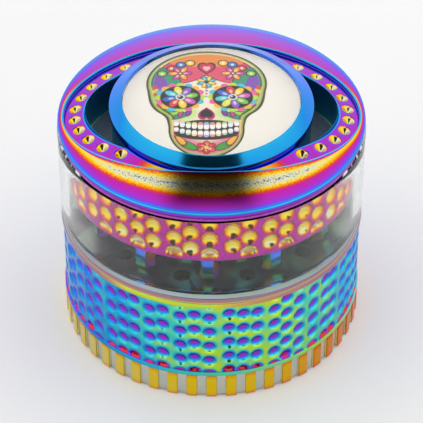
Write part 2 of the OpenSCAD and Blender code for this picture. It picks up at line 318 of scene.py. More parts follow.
def newTree(name):
    # A material with an empty node tree
    material = bpy.data.materials.new(name)
    material.use_nodes = True
    material.node_tree.nodes.clear()
    return material, material.node_tree


def fillRamp(ramp, stops):
    # Sets a colour ramp's stops from (place, hex value) pairs
    while len(ramp.elements) < len(stops):
        ramp.elements.new(0.5)
    for element, (place, hexValue) in zip(ramp.elements, stops):
        element.position = place
        element.color = colour(hexValue)


def finishTree(tree, inputs):
    # A Principled shader with these inputs, joined to the material's surface
    shader = addNode(tree, "ShaderNodeBsdfPrincipled", inputs=inputs).outputs["BSDF"]
    addNode(tree, "ShaderNodeOutputMaterial", inputs={"Surface": shader})


# The interference colours of the coating in the order in which its thickness grows
film = {
    "stops": [
        (0.00, "66746b"), (0.03, "c3c8c4"), (0.07, "ddd79c"), (0.12, "ecc91c"), (0.20, "e68414"),
        (0.27, "d03a2c"), (0.33, "b8259c"), (0.39, "9c34c4"), (0.45, "6a48dc"), (0.51, "3f78ea"),
        (0.57, "1d84d2"), (0.63, "2ab4dc"), (0.69, "50d2b4"), (0.75, "aade44"), (0.81, "dcd83a"),
        (0.86, "cc9468"), (0.90, "b07c86"), (0.94, "8f809c"), (0.97, "98a6ac"), (1.00, "8c9c8e"),
    ],
    "silver": 0.03, "red": 0.27, "steel": 0.97, "greenGrey": 1.0,
}


def rainbowCoat(name, look):
    # Vacuum-deposited oxide film on polished die-cast zinc: a mirror-like metal whose hue follows
    # the film's thickness, with a faint cast grain where the casting wasn't polished
    material, tree = newTree(name)
    grain = noise(tree, look["grainWidth"], 0.5)
    drift = calc(tree, "SUBTRACT", noise(tree, look["driftWidth"], 1.0), 0.5)
    cast = trait(tree, "cast")
    # Besides the coating's own colours, the film value holds painted highlights on the lid and round the
    # grinding floor's holes
    hue = calc(tree, "MULTIPLY_ADD", drift, look["drift"], trait(tree, "film"))
    scatter = calc(tree, "MULTIPLY", cast, look["grain"])
    hue = calc(tree, "MULTIPLY_ADD", calc(tree, "SUBTRACT", grain, 0.5), scatter, hue)
    pitting = calc(tree, "MULTIPLY_ADD", cast, look["castBump"], look["bump"])
    finishTree(tree, {
        "Base Color": rampColour(tree, hue, film["stops"]), "Metallic": 1.0,
        "Roughness": trait(tree, "rough"), "Normal": bumped(tree, grain, pitting, look["bumpDepth"])})
    return material


def plainMaterial(name, look):
    # A base colour with a slow tone change, and a bump whose width is a real size
    material, tree = newTree(name)
    grain = noise(tree, look["grainWidth"], 3.0)
    inputs = {
        "Base Color": rampColour(tree, grain, [(0.3, look["dark"]), (0.7, look["light"])]),
        "Roughness": look["roughness"], "Metallic": look.get("metallic", 0.0),
        "Normal": bumped(tree, grain, look["bump"], look["bumpDepth"])}
    if "ior" in look:
        inputs["IOR"] = look["ior"]
    finishTree(tree, inputs)
    return material


def clearMaterial(name, look):
    # A clear solid: light passes through it, with a very slight ripple left by the mould
    material, tree = newTree(name)
    finishTree(tree, {
        "Base Color": colour(look["tint"]), "Roughness": look["roughness"], "IOR": look["ior"],
        "Transmission Weight": 1.0,
        "Normal": bumped(tree, noise(tree, look["rippleWidth"]), look["ripple"], look["rippleDepth"])})
    return material


def printedMaterial(name, look):
    # Ink on a glossy white card: its colours are painted on the points of the disc
    material, tree = newTree(name)
    ink = trait(tree, "ink", "Color")
    finishTree(tree, {
        "Base Color": ink, "Roughness": look["roughness"], "IOR": look["ior"],
        # The ink also glows: painted light, an emission that brightens the card under the clear dome
        "Emission Color": ink, "Emission Strength": look["glow"],
        "Normal": bumped(tree, noise(tree, look["fibreWidth"]), look["bump"], look["bumpDepth"])})
    return material


coatLook = {
    "driftWidth": 7.0,    # mm, how slowly the hue wanders
    "drift": 0.03,        # how far it wanders, as film thickness
    "grainWidth": 0.3,    # mm, cast grain drawn a little coarser than the real one so that it shows
    "grain": 0.22,        # how far the grain scatters the hue where the metal is rough
    "bump": 0.1, "castBump": 0.4,   # polished metal, and what a rough casting adds
    "bumpDepth": 0.006,
}
rainbowMetal = rainbowCoat("rainbowCoatedZinc", coatLook)
# Drawn stainless wire: pale grey with fine lengthwise die marks
springWire = plainMaterial("drawnStainlessWire", {
    "dark": "8f9193", "light": "b4b6b8", "grainWidth": 0.3, "roughness": 0.28, "metallic": 1.0,
    "bump": 0.2, "bumpDepth": 0.01})
# Woven stainless wire cloth: slightly duller than the clip
wireCloth = plainMaterial("wovenStainlessWire", {
    "dark": "8c8d8e", "light": "b8b9ba", "grainWidth": 0.2, "roughness": 0.38, "metallic": 1.0,
    "bump": 0.15, "bumpDepth": 0.01})
# Pressed steel strip: satin, with a soft rolled grain
pressedSteel = plainMaterial("pressedSteelStrip", {
    "dark": "8a8b8d", "light": "aaabad", "grainWidth": 0.5, "roughness": 0.4, "metallic": 1.0,
    "bump": 0.2, "bumpDepth": 0.01})
# Nickel-plated magnet: bright, faintly warm
magnetNickel = plainMaterial("nickelPlatedMagnet", {
    "dark": "a8a49b", "light": "c9c5bb", "grainWidth": 0.8, "roughness": 0.18, "metallic": 1.0,
    "bump": 0.1, "bumpDepth": 0.01})
# Moulded nylon, dyed violet to go with the lid's edge: waxy
mouldedNylon = plainMaterial("mouldedNylon", {
    "dark": "a844b8", "light": "c05cd0", "grainWidth": 1.2, "roughness": 0.45, "ior": 1.53,
    "bump": 0.1, "bumpDepth": 0.02})
# Foam tape: matte white with open cells
foamTape = plainMaterial("foamTape", {
    "dark": "d8d8d2", "light": "f2f2ee", "grainWidth": 0.35, "roughness": 0.9,
    "bump": 0.6, "bumpDepth": 0.06})
# Cast acrylic: very clear, its cut edges a pale sea green
castAcrylic = clearMaterial("castAcrylic", {
    "tint": "fafdfa", "roughness": 0.0, "ior": 1.36, "rippleWidth": 9.0, "ripple": 0.03,
    "rippleDepth": 0.05})
# Poured resin: water-clear with a glassy skin
pouredResin = clearMaterial("pouredResin", {
    "tint": "fefefe", "roughness": 0.0, "ior": 1.36, "rippleWidth": 12.0, "ripple": 0.02,
    "rippleDepth": 0.05})
# Translucent silicone: cloudy and pale green
clearSilicone = clearMaterial("translucentSilicone", {
    "tint": "d6ead6", "roughness": 0.35, "ior": 1.41, "rippleWidth": 2.0, "ripple": 0.1,
    "rippleDepth": 0.05})
# Printed card: inked, then glazed. Its glow makes up for what the sampler loses under the clear dome
printedCard = printedMaterial("printedCard", {
    "roughness": 0.35, "ior": 1.5, "glow": 0.38, "fibreWidth": 0.25, "bump": 0.1, "bumpDepth": 0.01})
report("materials ready")


# Base: a pollen cup with a castellated band

base = {
    "blocks": 48,
    "slotDepth": 0.45,     # mm
    "slotShare": 0.48,     # of the pitch
    "edge": 0.25,          # mm, softened top and bottom edges
    "cupFloor": 1.4,       # mm
    "cupBore": 26.07,      # mm radius
    "socketFloor": 2.5,    # mm
}


def buildBase():
    # Radius is the reach less the slot's depth times how far each column is sunk, 0 to 1
    low, high = heights("base_cup")
    reach = outerRadius("base_cup")
    socket = radiiNear("base_cup", high)[0]
    # One pitch, from the middle of a block to the middle of the next
    half = base["slotShare"] / 2
    places = np.array([0, 0.16, 0.5 - half - 0.02, 0.5 - half - 0.004, 0.5 - half + 0.004,
                       0.5 - half + 0.02, 0.5, 0.5 + half - 0.02, 0.5 + half - 0.004,
                       0.5 + half + 0.004, 0.5 + half + 0.02, 0.84])
    sunk = np.array([0, 0, 0.03, 0.15, 0.85, 1, 1, 1, 0.85, 0.15, 0.03, 0])
    pitch = fullTurn / base["blocks"]
    angle = (front + pitch * (np.arange(base["blocks"])[:, None] + places)).ravel()
    slot = np.tile(sunk, base["blocks"])
    edge, floorZ, bore = base["edge"], base["cupFloor"], base["cupBore"]
    # Each row: how far in from the block's face, its own radius where it isn't on that face, height
    rim = [(edge + 0.35, low), (edge, low), (edge * 0.3, low + edge * 0.3), (0, low + edge)]
    rim += [(0, low + edge + (high - low - 2 * edge) * n / 8) for n in range(1, 9)]
    rim += [(edge * 0.3, high - edge * 0.3), (edge, high), (edge + 0.35, high)]
    outside = [np.stack([reach - slot * base["slotDepth"] - inset, z + 0 * slot], -1) for inset, z in rim]
    under = [(0, low), (9, low), (18, low), (27, low)]
    inside = [(socket + 0.3, high), (socket + 0.05, high), (socket, high - 0.3), (socket, 4),
              (socket, base["socketFloor"] + 0.05), (socket - 0.2, base["socketFloor"]),
              (bore + 0.2, base["socketFloor"]), (bore, base["socketFloor"] - 0.2),
              (bore, floorZ + 0.3), (bore - 0.3, floorZ), (20, floorZ), (10, floorZ), (0, floorZ)]
    plain = lambda rows: [np.stack([r + 0 * slot, z + 0 * slot], -1) for r, z in rows]
    profile = np.array(plain(under) + outside + plain(inside))
    r, z = profile[..., 0], profile[..., 1]
    points = spin(r, z, angle)
    # Blocks run from pale gold on one side to orange-brown on the other; slots are silver
    side = np.cos(angle)
    block = bands(side, [(-1, 0.06), (-0.7, 0.075), (-0.3, 0.09), (0.2, 0.10), (0.5, 0.12), (0.8, 0.17),
                         (1, 0.21)])
    onRim = (r > reach - 1.2) & (z > low + 0.01) & (z < high - 0.01)
    coat = block * (1 - slot) + film["silver"] * slot
    # A red-brown tint on the block's corners towards each slot, and a warmer tint along its top and bottom
    # edges
    corner = np.exp(-((slot - 0.4) / 0.3) ** 2)
    edgeGlow = np.exp(-(np.minimum(z - low, high - z) / 0.5) ** 2) * (1 - slot)
    coat = coat + corner * 0.16 + edgeGlow * 0.07
    coat = np.where(onRim, coat, bands(r, [(0, 0.63), (10, 0.57), (20, 0.45), (26, 0.36), (31, 0.28)]))
    underside = bands(r, [(0, 0.36), (12, 0.45), (24, 0.57), (31, 0.66)])
    coat = np.where((z > floorZ - 0.1) | onRim, coat, underside)
    rough = np.where(onRim, 0.24, 0.32)
    parts = gridParts(points, "poles", {"film": coat, "rough": rough})
    addPiece("castellatedBase", parts, "base", rainbowMetal, ["base_cup"])


buildBase()
report("base ready")


# Body: a dimpled tube with plain lips, sockets at both ends and a threaded spigot

body = {
    "columns": 720,
    "rowStep": 0.3,          # mm between rows of points on the dimpled wall
    "lipHeight": 1.1, "lipProud": 0.3,         # mm
    "wallLedge": 1.1, "chamberWall": 2.7,      # mm
    "web": 1.15,             # mm, joins the wall to the lower spigot
    "grooveDepth": 0.35, "groovePlay": 0.05,   # mm, where the clip sits
    "threadDepth": 0.35, "threadLead": 2.0,    # mm
    "dimples": {"columns": 60, "rows": 6, "rowPitch": 3.95, "firstRow": 6.5, "radius": 1.5,
                "stagger": 0.15, "unevenHeight": 0.75, "unevenAngle": 0.14, "seed": 11},
    "dimpleSlope": 1.4,      # of a dimple's wall at its rim
    "patch": 0.035,          # how far slow patches shift the ground's hue, as film thickness
}


def buildBody():
    # Radius is the wall's radius less a bowl's depth near each dimple, faded out towards the lips
    spec = body["dimples"]
    bottom, top = heights("body_tube")
    baseTop = heights("base_cup")[1]
    lipR = outerRadius("body_tube")
    wallR = lipR - body["lipProud"]
    boreR, spigotR = radiiNear("body_tube", bottom)
    socketR = radiiNear("body_tube", top)[0]
    ledgeZ = heights("screen_ring_upper")[1]
    ledgeR = boreR - body["wallLedge"]
    chamberR = wallR - body["chamberWall"]
    socketZ = heights("grinding_floor")[0] - 0.3
    lip = body["lipHeight"]
    webZ = baseTop + body["web"]
    clipLow, clipTop = heights("screen_clip")
    grooveLow, grooveTop = clipLow - body["groovePlay"], clipTop + body["groovePlay"]
    grooveR = boreR + body["grooveDepth"]
    profile = outline([
        (boreR, bottom, 0.15), (spigotR, bottom, 0.25), (spigotR, baseTop, 0), (lipR, baseTop, 0.15),
        (lipR, baseTop + lip, 0.12), (wallR, baseTop + lip, 0.1),
        (wallR, top - lip, 0.1), (lipR, top - lip, 0.12), (lipR, top, 0.2), (socketR, top, 0.15),
        (socketR, socketZ, 0), (chamberR, socketZ, 0.15), (chamberR, webZ, 0.4),
        (ledgeR, webZ, 0.15), (ledgeR, ledgeZ, 0.1), (boreR, ledgeZ, 0),
        (boreR, grooveTop, 0), (grooveR, grooveTop, 0), (grooveR, grooveLow, 0), (boreR, grooveLow, 0)],
        step=body["rowStep"])
    # The inner walls need few rows, so points that crowd there are thinned
    r, z = profile.T
    inner = (r < wallR - 1.0) & (z > baseTop + 1.6) & (z < top - 0.5)
    keep = ~inner | (np.arange(len(r)) % 5 == 0)
    profile = profile[keep]
    angle = front + np.arange(body["columns"]) * fullTurn / body["columns"]
    r, z = profile[:, :1] + 0 * angle, profile[:, 1:] + 0 * angle
    onWall = (np.abs(r - wallR) < 0.02) & (z > baseTop + lip) & (z < top - lip)
    distance, below = nearestDimple(angle[None, :], z, spec, wallR)
    bowl = bowlDepth(distance, body["dimpleSlope"]) * spec["radius"]
    fade = easeStep(z, baseTop + lip, baseTop + lip + 0.5) * easeStep(-z, -(top - lip), -(top - lip) + 0.5)
    onSpigot = (np.abs(r - spigotR) < 0.02) & (z < baseTop)
    r = np.where(onWall, r - bowl * fade, r)
    r = np.where(onSpigot, thread(r, z, angle[None, :], bottom, baseTop, body["threadDepth"],
                                  body["threadLead"]), r)
    points = spin(r, z, angle)
    # Ground: lime in front, blue at both shoulders and teal behind, with a violet centre in each dimple
    turn = fromFront(angle)
    ground = bands(turn, [(-180, 0.66), (-120, 0.61), (-80, 0.56), (-60, 0.595), (-38, 0.635), (-20, 0.69),
                          (0, 0.735), (25, 0.745), (45, 0.71), (62, 0.64), (85, 0.57), (120, 0.6),
                          (180, 0.66)])
    centre = bands(turn, [(-180, 0.39), (-70, 0.37), (-30, 0.365), (0, 0.40), (40, 0.385), (75, 0.36),
                          (180, 0.39)])
    inBowl = 1 - easeStep(distance + 0.3 * below, 0.3, 1.2)
    patch = np.sin(0.21 * turn + 0.9 * z) * np.sin(0.13 * turn - 0.6 * z)
    coat = ground + (centre - ground) * inBowl + body["patch"] * patch * (1 - inBowl)
    nearLip = easeStep(-z, -(baseTop + lip + 1.2), -(baseTop + lip + 0.2))
    coat = coat + (film["red"] - coat) * nearLip * inBowl
    lipCoat = bands(turn, [(-180, 0.6), (-90, 0.42), (-45, 0.58), (-15, 0.66), (15, 0.71), (50, 0.75),
                           (90, 0.66), (180, 0.6)])
    topCoat = bands(turn, [(-180, 0.93), (-75, 0.94), (-48, 0.91), (-30, 0.79), (-5, 0.78), (8, 0.84),
                           (40, 0.90), (80, 0.93), (180, 0.93)])
    coat = np.where(z <= baseTop + lip, lipCoat, coat)
    coat = np.where(z >= top - lip, topCoat, coat)
    within = r < wallR - 1.2
    coat = np.where(within, bands(z, [(bottom, 0.42), (baseTop, 0.55), (15, 0.66), (top, 0.8)]), coat)
    rough = np.where(within, 0.3, 0.2)
    parts = gridParts(points, "ring", {"film": coat, "rough": rough})
    addPiece("dimpledBody", parts, "body", rainbowMetal, ["body_tube"])


buildBody()
report("body ready")


# Screen: woven wire cloth crimped between two pressed rings and held up by a wire clip

screen = {
    "pitch": 1.2,         # mm between wires, drawn coarser than real cloth
    "wire": 0.16,         # mm
    "ringCorner": 0.12,   # mm
    "clipWire": 0.9,      # mm
    "clipMouth": 14,      # degrees
    "wirePoints": 90, "wireSides": 6, "clipPoints": 200, "clipSides": 14, "ringColumns": 180,
}


def buildScreen():
    # Each wire's height is the middle plus a cosine that goes over and under the crossing wires
    low, high = heights("screen_mesh")
    reach = outerRadius("screen_mesh") - 0.15
    middle = (low + high) / 2
    swing = (high - low) / 2 - screen["wire"] / 2
    count = int(reach / screen["pitch"])
    sides = screen["wireSides"]
    along = np.linspace(-1, 1, screen["wirePoints"])[None, :, None]
    around = np.arange(sides)[None, None, :] * fullTurn / sides
    line = np.arange(-count, count + 1)[:, None, None]
    offset = line * screen["pitch"]
    # A wire runs straight in plan and passes over and under the wires that it crosses
    run = along * np.sqrt(reach ** 2 - offset ** 2)
    several = []
    for across in (0, 1):
        wave = swing * np.cos(math.pi * (run / screen["pitch"] + line + across))
        side = offset + np.cos(around) * screen["wire"] / 2
        lift = middle + wave + np.sin(around) * screen["wire"] / 2
        run3 = run + 0 * around
        points = np.stack([side + 0 * run3, run3, lift + 0 * run3] if across == 0
                          else [run3, side + 0 * run3, lift + 0 * run3], -1)
        if across == 0:
            points = points[:, ::-1]
        for wire in points:
            ends = [wire[:1].mean(1, keepdims=True).repeat(sides, 1), wire,
                    wire[-1:].mean(1, keepdims=True).repeat(sides, 1)]
            several.append(gridParts(np.concatenate(ends)[::-1], "poles"))
    addPiece("wireCloth", joinParts(several), "body", wireCloth, ["screen_mesh"])
    for name, node in (("lowerScreenRing", "screen_ring_lower"), ("upperScreenRing", "screen_ring_upper")):
        plainRing(name, node, "body", pressedSteel, screen["ringCorner"],
                  screen["ringColumns"])
    low, high = heights("screen_clip")
    wireR = screen["clipWire"] / 2
    radius = outerRadius("screen_clip") - wireR
    mouth = math.radians(screen["clipMouth"] / 2)
    turn = np.linspace(mouth, fullTurn - mouth, screen["clipPoints"])[:, None]
    around = np.arange(screen["clipSides"])[None, :] * fullTurn / screen["clipSides"]
    # The wire's thickness rounds off over the last few points at both ends
    ends = np.clip(np.minimum(turn - mouth, fullTurn - mouth - turn) * radius / wireR, 0, 1)
    half = wireR * np.sqrt(1 - (1 - ends) ** 2)
    r = radius + half * np.cos(around)
    z = (low + high) / 2 + half * np.sin(around)
    points = spin(r, z, turn)[::-1]
    addPiece("screenClip", gridParts(points, "poles"), "clip", springWire, ["screen_clip"])


buildScreen()
report("screen ready")


# Grinding floor: a drilled plate with a bevelled rim and a threaded spigot

floor = {
    "threadDepth": 0.35, "threadLead": 2.0,
    "holeEdge": 0.3,     # mm, chamfer round each hole
    "cutStep": 0.2,      # mm between the level cuts that give the rim and the thread their points
}


def buildFloor():
    # The CAD's own plate, with its hole rims bevelled and the thread's groove cut in its spigot
    low = heights("grinding_floor")[0]
    spigotR = radiiNear("grinding_floor", low)[1]
    bodyTop = heights("body_tube")[1]
    rimTop = heights("window_seal")[0]
    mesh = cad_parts["grinding_floor"].data.copy()
    work = bmesh.new()
    work.from_mesh(mesh)
    bmesh.ops.remove_doubles(work, verts=work.verts, dist=1e-6)
    for z in np.arange(low + 0.1, rimTop - 0.05, floor["cutStep"]):
        everything = work.verts[:] + work.edges[:] + work.faces[:]
        bmesh.ops.bisect_plane(work, geom=everything, plane_co=(0, 0, z * mm), plane_no=(0, 0, 1))
    atTop = lambda v: abs(v.co.z / mm - rimTop) < 0.01 and v.co.xy.length / mm < spigotR - 2
    holeRims = [e for e in work.edges
                if all(map(atTop, e.verts)) and len(e.link_faces) == 2 and e.calc_face_angle() > 1.2]
    bmesh.ops.bevel(work, geom=holeRims, offset=floor["holeEdge"] * mm, segments=1, affect="EDGES",
                    clamp_overlap=True)
    work.to_mesh(mesh)
    work.free()
    mesh.name = "grindingFloor"
    x, y, z = meshPoints(mesh).T
    r, angle = np.hypot(x, y), np.arctan2(y, x)
    cut = thread(r, z, angle, low, bodyTop, floor["threadDepth"], floor["threadLead"])
    onSpigot = (np.abs(r - spigotR) < 0.03) & (z > low + 0.05) & (z < bodyTop - 0.05)
    share = np.where(onSpigot, cut / np.maximum(r, 1), 1)
    moved = np.stack([x * share, y * share, z], -1) * mm
    mesh.vertices.foreach_set("co", moved.astype(np.float32).ravel())
    rim = bands(z - bodyTop, [(0, 0.84), (0.3, 0.87), (0.7, 0.90), (1.1, 0.92), (1.3, 0.96), (1.6, 0.985),
                              (2.0, 0.99), (2.3, 1.0)])
    rim = rim + 0.01 * np.sin((angle - front) * 3)
    coat = np.where(z > bodyTop + 0.02, rim, 0.6)
    coat = np.where((r < spigotR) & (z > bodyTop - 1), film["greenGrey"], coat)
    # A paler steel ring just inside the top of each hole is a painted highlight on the hole's edge
    coat = np.where((r < spigotR - 1) & (z > rimTop - 0.4) & (z < rimTop - 0.1), film["steel"], coat)
    rough = np.where(r < spigotR - 0.5, 0.5, 0.18)
    paintPoints(mesh, {"film": coat, "rough": rough})
    standIn(mesh, "grindingFloor", "chamber", rainbowMetal, ["grinding_floor"], 30)


buildFloor()
report("grinding floor ready")


# Teeth: six-sided posts, sharp at both sides, with softened corners

teeth = {
    "width": 5.0, "depth": 3.2, "flat": 2.3,   # mm
    "corner": 0.14, "tip": 0.3,                # mm
    "tipShare": 0.86,                          # width of the tip's flat, of the full width
}


def toothRing(name, node, body, count, turn, tipUp):
    # One six-sided plan, drawn in towards the tip, then turned to each tooth's place in the ring
    x, y, z = nodePoints(node).T
    low, high = z.min(), z.max()
    radius = (np.hypot(x, y).max() ** 2 - (teeth["flat"] / 2) ** 2) ** 0.5 - teeth["depth"] / 2
    d, w, f = teeth["depth"] / 2, teeth["width"] / 2, teeth["flat"] / 2
    c = teeth["corner"]
    plan = outline([(d, -f, c), (d, f, c), (0, w, c), (-d, f, c), (-d, -f, c), (0, -w, c)])
    tip, narrow = teeth["tip"], teeth["tipShare"]
    if tipUp:
        foot = [(0, low), (0.9, low), (1, low + 0.02)]
        head = [(1, high - tip), (narrow, high), (0, high)]
    else:
        foot = [(0, low), (narrow, low), (1, low + tip)]
        head = [(1, high - 0.02), (0.9, high), (0, high)]
    shaft = [(1, low + (high - low) * n / 8) for n in range(1, 8)]
    scale, level = (column[:, None] for column in np.array(foot + shaft + head).T)
    u, v = plan[:, 0] * scale, plan[:, 1] * scale
    level = level + 0 * u
    # The front flat is blue, the right flank orange and the left one green
    flank = np.arctan2(v, u)
    coat = np.where(flank > 0.6, 0.2, np.where(flank < -0.6, 0.66, 0.50))
    coat = coat + 0.24 * easeStep(-level, -(low + 4.5), -low)
    several = []
    for k in range(count):
        a = front + math.radians(turn) + k * fullTurn / count
        points = np.stack([(radius + u) * math.cos(a) - v * math.sin(a),
                           (radius + u) * math.sin(a) + v * math.cos(a), level], -1)
        several.append(gridParts(points, "poles", {"film": coat + 0.02 * math.sin(5.0 * k), "rough": 0.16}))
    addPiece(name, joinParts(several), body, rainbowMetal, [node])


floorTurn, lidTurn = 1.4, -1.6   # degrees from the front
for ringName, ringNode, count, turn in (("lidTeethOuter", "lid_teeth_outer", 12, lidTurn),
                                        ("lidTeethInner", "lid_teeth_inner", 8, lidTurn)):
    toothRing(ringName, ringNode, "lid", count, turn, False)
for ringName, ringNode, count, turn in (("floorTeethOuter", "floor_teeth_outer", 12, floorTurn + 15),
                                        ("floorTeethInner", "floor_teeth_inner", 5, floorTurn)):
    toothRing(ringName, ringNode, "chamber", count, turn, True)
report("teeth ready")


# Rings and discs that a lathe or a mould would make

rings = {
    "corner": 0.12, "magnetCorner": 0.25, "padCorner": 0.08,   # mm
    "sealSqueeze": 0.01,                                       # mm clear of each neighbour
    "columns": 360, "magnetColumns": 96, "pivotColumns": 120, "padColumns": 240,
}


def buildRings():
    # Each ring is its CAD node's section with soft corners, carried round the axis
    columns, corner = rings["columns"], rings["corner"]
    plainRing("windowRing", "window_ring", "chamber", castAcrylic, corner, columns, step=3)
    plainRing("windowSeal", "window_seal", "seal", clearSilicone, corner, columns,
              squeeze=rings["sealSqueeze"])
    low, high = heights("glide_ring")
    inner, outer = radiiNear("glide_ring", high)
    collar = radiiNear("glide_ring", low)[1]
    ledge = heights("window_ring")[1] + 0.05
    profile = outline([(inner, low, corner), (collar, low, corner), (collar, ledge, 0),
                       (outer, ledge, corner), (outer, high, corner), (inner, high, corner)])
    addPiece("glideRing", lathe(profile, columns, "ring"), "glide", mouldedNylon, ["glide_ring"])
    for name, node, rider in (("floorMagnet", "floor_magnet", "chamber"), ("lidMagnet", "lid_magnet", "lid")):
        low, high = heights(node)
        reach = outerRadius(node)
        c = rings["magnetCorner"]
        profile = outline([(0, low, 0), (reach, low, c), (reach, high, c), (0, high, 0)], closed=False)
        addPiece(name, lathe(profile, rings["magnetColumns"], "poles"), rider,
                 magnetNickel, [node])
    low, high = heights("lid_pivot")
    reach = outerRadius("lid_pivot")
    hollow, hollowTop = outerRadius("lid_magnet"), heights("lid_magnet")[1]
    profile = outline([(0, hollowTop, 0), (hollow, hollowTop, 0), (hollow, low, 0.1), (reach, low, 0.4),
                       (reach, high, 0), (0, high, 0)], closed=False, step=0.5)
    coat = lambda r, z, angle: {"film": 0.5 + 0.01 * (z - low), "rough": 0.2 + 0 * z}
    addPiece("lidPivot", lathe(profile, rings["pivotColumns"], "poles", coat), "lid",
             rainbowMetal, ["lid_pivot"])


buildRings()
report("rings ready")


# Lid: one closed surface, from the seat of the medallion out over the dome and down the skirt

lid = {
    "columns": 640,
    "domeRise": 4.0, "edgeRound": 0.9, "shoulderInset": 1.0, "shoulderRise": 1.6,
    "eyeRim": 1.3, "eyeOver": 0.2, "eyeDepth": 0.8, "bandWidth": 4.4,
    "pocketDepth": 8.8, "pillarInset": 0.5, "pillarWall": 3.6, "bezelGap": 0.1,
    "pits": 10, "pitRadius": 1.25, "pitDepth": 1.35, "pitArc": 100, "pitShift": 0.4,
    "lipSoft": 0.4,
    "dimples": {"columns": 48, "rows": 3, "rowPitch": 3.9, "firstRow": 37.9, "radius": 1.85,
                "stagger": 0.5, "unevenHeight": 0.45, "unevenAngle": 0.09, "seed": 5},
    "dimpleSlope": 2.2,
}


def ellipseRadius(a, b, angle):
    # Radius of an ellipse with half axes a and b at that angle
    return a * b / np.sqrt((b * np.cos(angle)) ** 2 + (a * np.sin(angle)) ** 2)


def buildLid():
    # The dome's height is a ball's: its centre plus the root of ball radius squared less r squared
    reach = outerRadius("lid_shell")
    skirtBottom = heights("lid_shell")[0]
    cavityR, skirtR = radiiNear("lid_shell", skirtBottom)
    lidZ = heights("glide_ring")[1] + 0.05
    plateZ = heights("lid_pivot")[1]
    seatZ = heights("medallion_bezel")[0]
    bezelR = outerRadius("medallion_bezel")
    domeZ = lidZ + lid["domeRise"]
    pillarR = bezelR - lid["pillarInset"]
    coreR = pillarR - lid["pillarWall"]
    seatR = bezelR + lid["bezelGap"]
    shoulderR, shoulderZ = reach - lid["shoulderInset"], lidZ + lid["shoulderRise"]
    drop = domeZ - shoulderZ
    domeR = ((shoulderR ** 2 - bezelR ** 2) / drop + drop) / 2
    domeCentre = domeZ - math.sqrt(domeR ** 2 - bezelR ** 2)
    dome = lambda r, sunk=0: domeCentre + np.sqrt((domeR - sunk) ** 2 - r ** 2)
    eyeA, eyeB = reach - lid["eyeRim"], seatR + lid["eyeOver"]
    pocketA, pocketB = eyeA - lid["bandWidth"], eyeB - lid["bandWidth"]
    angle = front + (np.arange(lid["columns"]) + 0.5) * fullTurn / lid["columns"]
    eye = ellipseRadius(eyeA, eyeB, angle)
    pocket = np.maximum(ellipseRadius(pocketA, pocketB, angle), pillarR + 0.05)
    floorZ = np.where(pocket > pillarR + 0.06, domeZ - lid["pocketDepth"], seatZ - 0.4)
    ledge = np.maximum(pocket + 0.02, seatR)
    soft = np.minimum(lid["lipSoft"], (eye - ledge) * 0.3)
    edge = lid["edgeRound"]
    rollR, rollZ = reach - edge, lidZ + edge
    # Where the dome runs into the rolled edge
    lean = np.linspace(0, math.pi / 2, 400)
    meet = lean[np.argmin(np.abs(dome(rollR + edge * np.cos(lean)) - rollZ - edge * np.sin(lean)))]
    domeEnd = rollR + edge * math.cos(meet)
    one = np.ones_like(angle)
    rows, zone = [], []

    def add(r, z, label):
        # One row of points, each at its own radius and height
        rows.append(np.stack([r * one, z * one], -1))
        zone.append(label)

    def run(r0, z0, r1, z1, count, label):
        # Rows at even steps along a straight line, without its last point
        for n in range(count):
            add(r0 + (r1 - r0) * n / count, z0 + (z1 - z0) * n / count, label)

    def bend(r0, z0, rc, zc, r1, z1, label):
        # A curve between two points, pulled towards a corner: (1-t)^2 first + 2t(1-t) corner + t^2 last
        for t in (0, 0.25, 0.5, 0.75, 1):
            add((1 - t) ** 2 * r0 + 2 * t * (1 - t) * rc + t * t * r1,
                (1 - t) ** 2 * z0 + 2 * t * (1 - t) * zc + t * t * z1, label)

    coreZ = domeZ - lid["pocketDepth"]
    run(0, coreZ, coreR, coreZ, 3, "core")
    run(coreR, coreZ, coreR, seatZ, 2, "core")
    run(coreR, seatZ, pillarR, seatZ, 2, "core")
    run(pillarR, seatZ, pillarR, floorZ, 5, "pocketWall")
    run(pillarR, floorZ, pocket, floorZ, 9, "pocketFloor")
    run(pocket, floorZ, pocket, seatZ, 5, "pocketWall")
    add(pocket, seatZ, "pocketWall")
    bandIn = dome(ledge, lid["eyeDepth"])
    run(ledge, seatZ, ledge, bandIn - soft, 2, "pocketWall")
    bend(ledge, bandIn - soft, ledge, bandIn, ledge + soft, dome(ledge + soft, lid["eyeDepth"]), "pocketLip")
    for n in range(1, 26):
        r = ledge + soft + (eye - 0.06 - ledge - soft) * n / 25
        add(r, dome(r, lid["eyeDepth"]), "band")
    lipIn = dome(eye)
    run(eye, dome(eye, lid["eyeDepth"]) + 0.06, eye, lipIn - soft, 2, "eyeWall")
    bend(eye, lipIn - soft, eye, lipIn, eye + soft, dome(eye + soft), "eyeLip")
    for n in range(1, 35):
        share = 0.5 - 0.5 * math.cos(math.pi * n / 35)
        r = eye + soft + (domeEnd - eye - soft) * (0.6 * n / 35 + 0.4 * share)
        add(r, dome(r), "dome")
    for n in range(10):
        lean = meet + (-math.pi / 2 - meet) * n / 9
        add(rollR + edge * math.cos(lean), rollZ + edge * math.sin(lean), "roll")
    run(rollR - 0.1, lidZ, skirtR, lidZ, 2, "under")
    for n in range(38):
        add(skirtR, lidZ - 0.02 + (skirtBottom + 0.2 - lidZ + 0.02) * n / 37, "skirt")
    bend(skirtR, skirtBottom + 0.2, skirtR, skirtBottom, skirtR - 0.2, skirtBottom, "skirtLip")
    bend(cavityR + 0.2, skirtBottom, cavityR, skirtBottom, cavityR, skirtBottom + 0.2, "under")
    run(cavityR, skirtBottom + 0.3, cavityR, plateZ, 3, "under")
    run(cavityR, plateZ, 0, plateZ, 3, "under")
    add(0, plateZ, "under")
    profile = np.array(rows)
    r, z = profile[..., 0], profile[..., 1]
    label = np.repeat(np.array(zone)[:, None], len(angle), 1)
    inZone = lambda *names: np.isin(label, names)
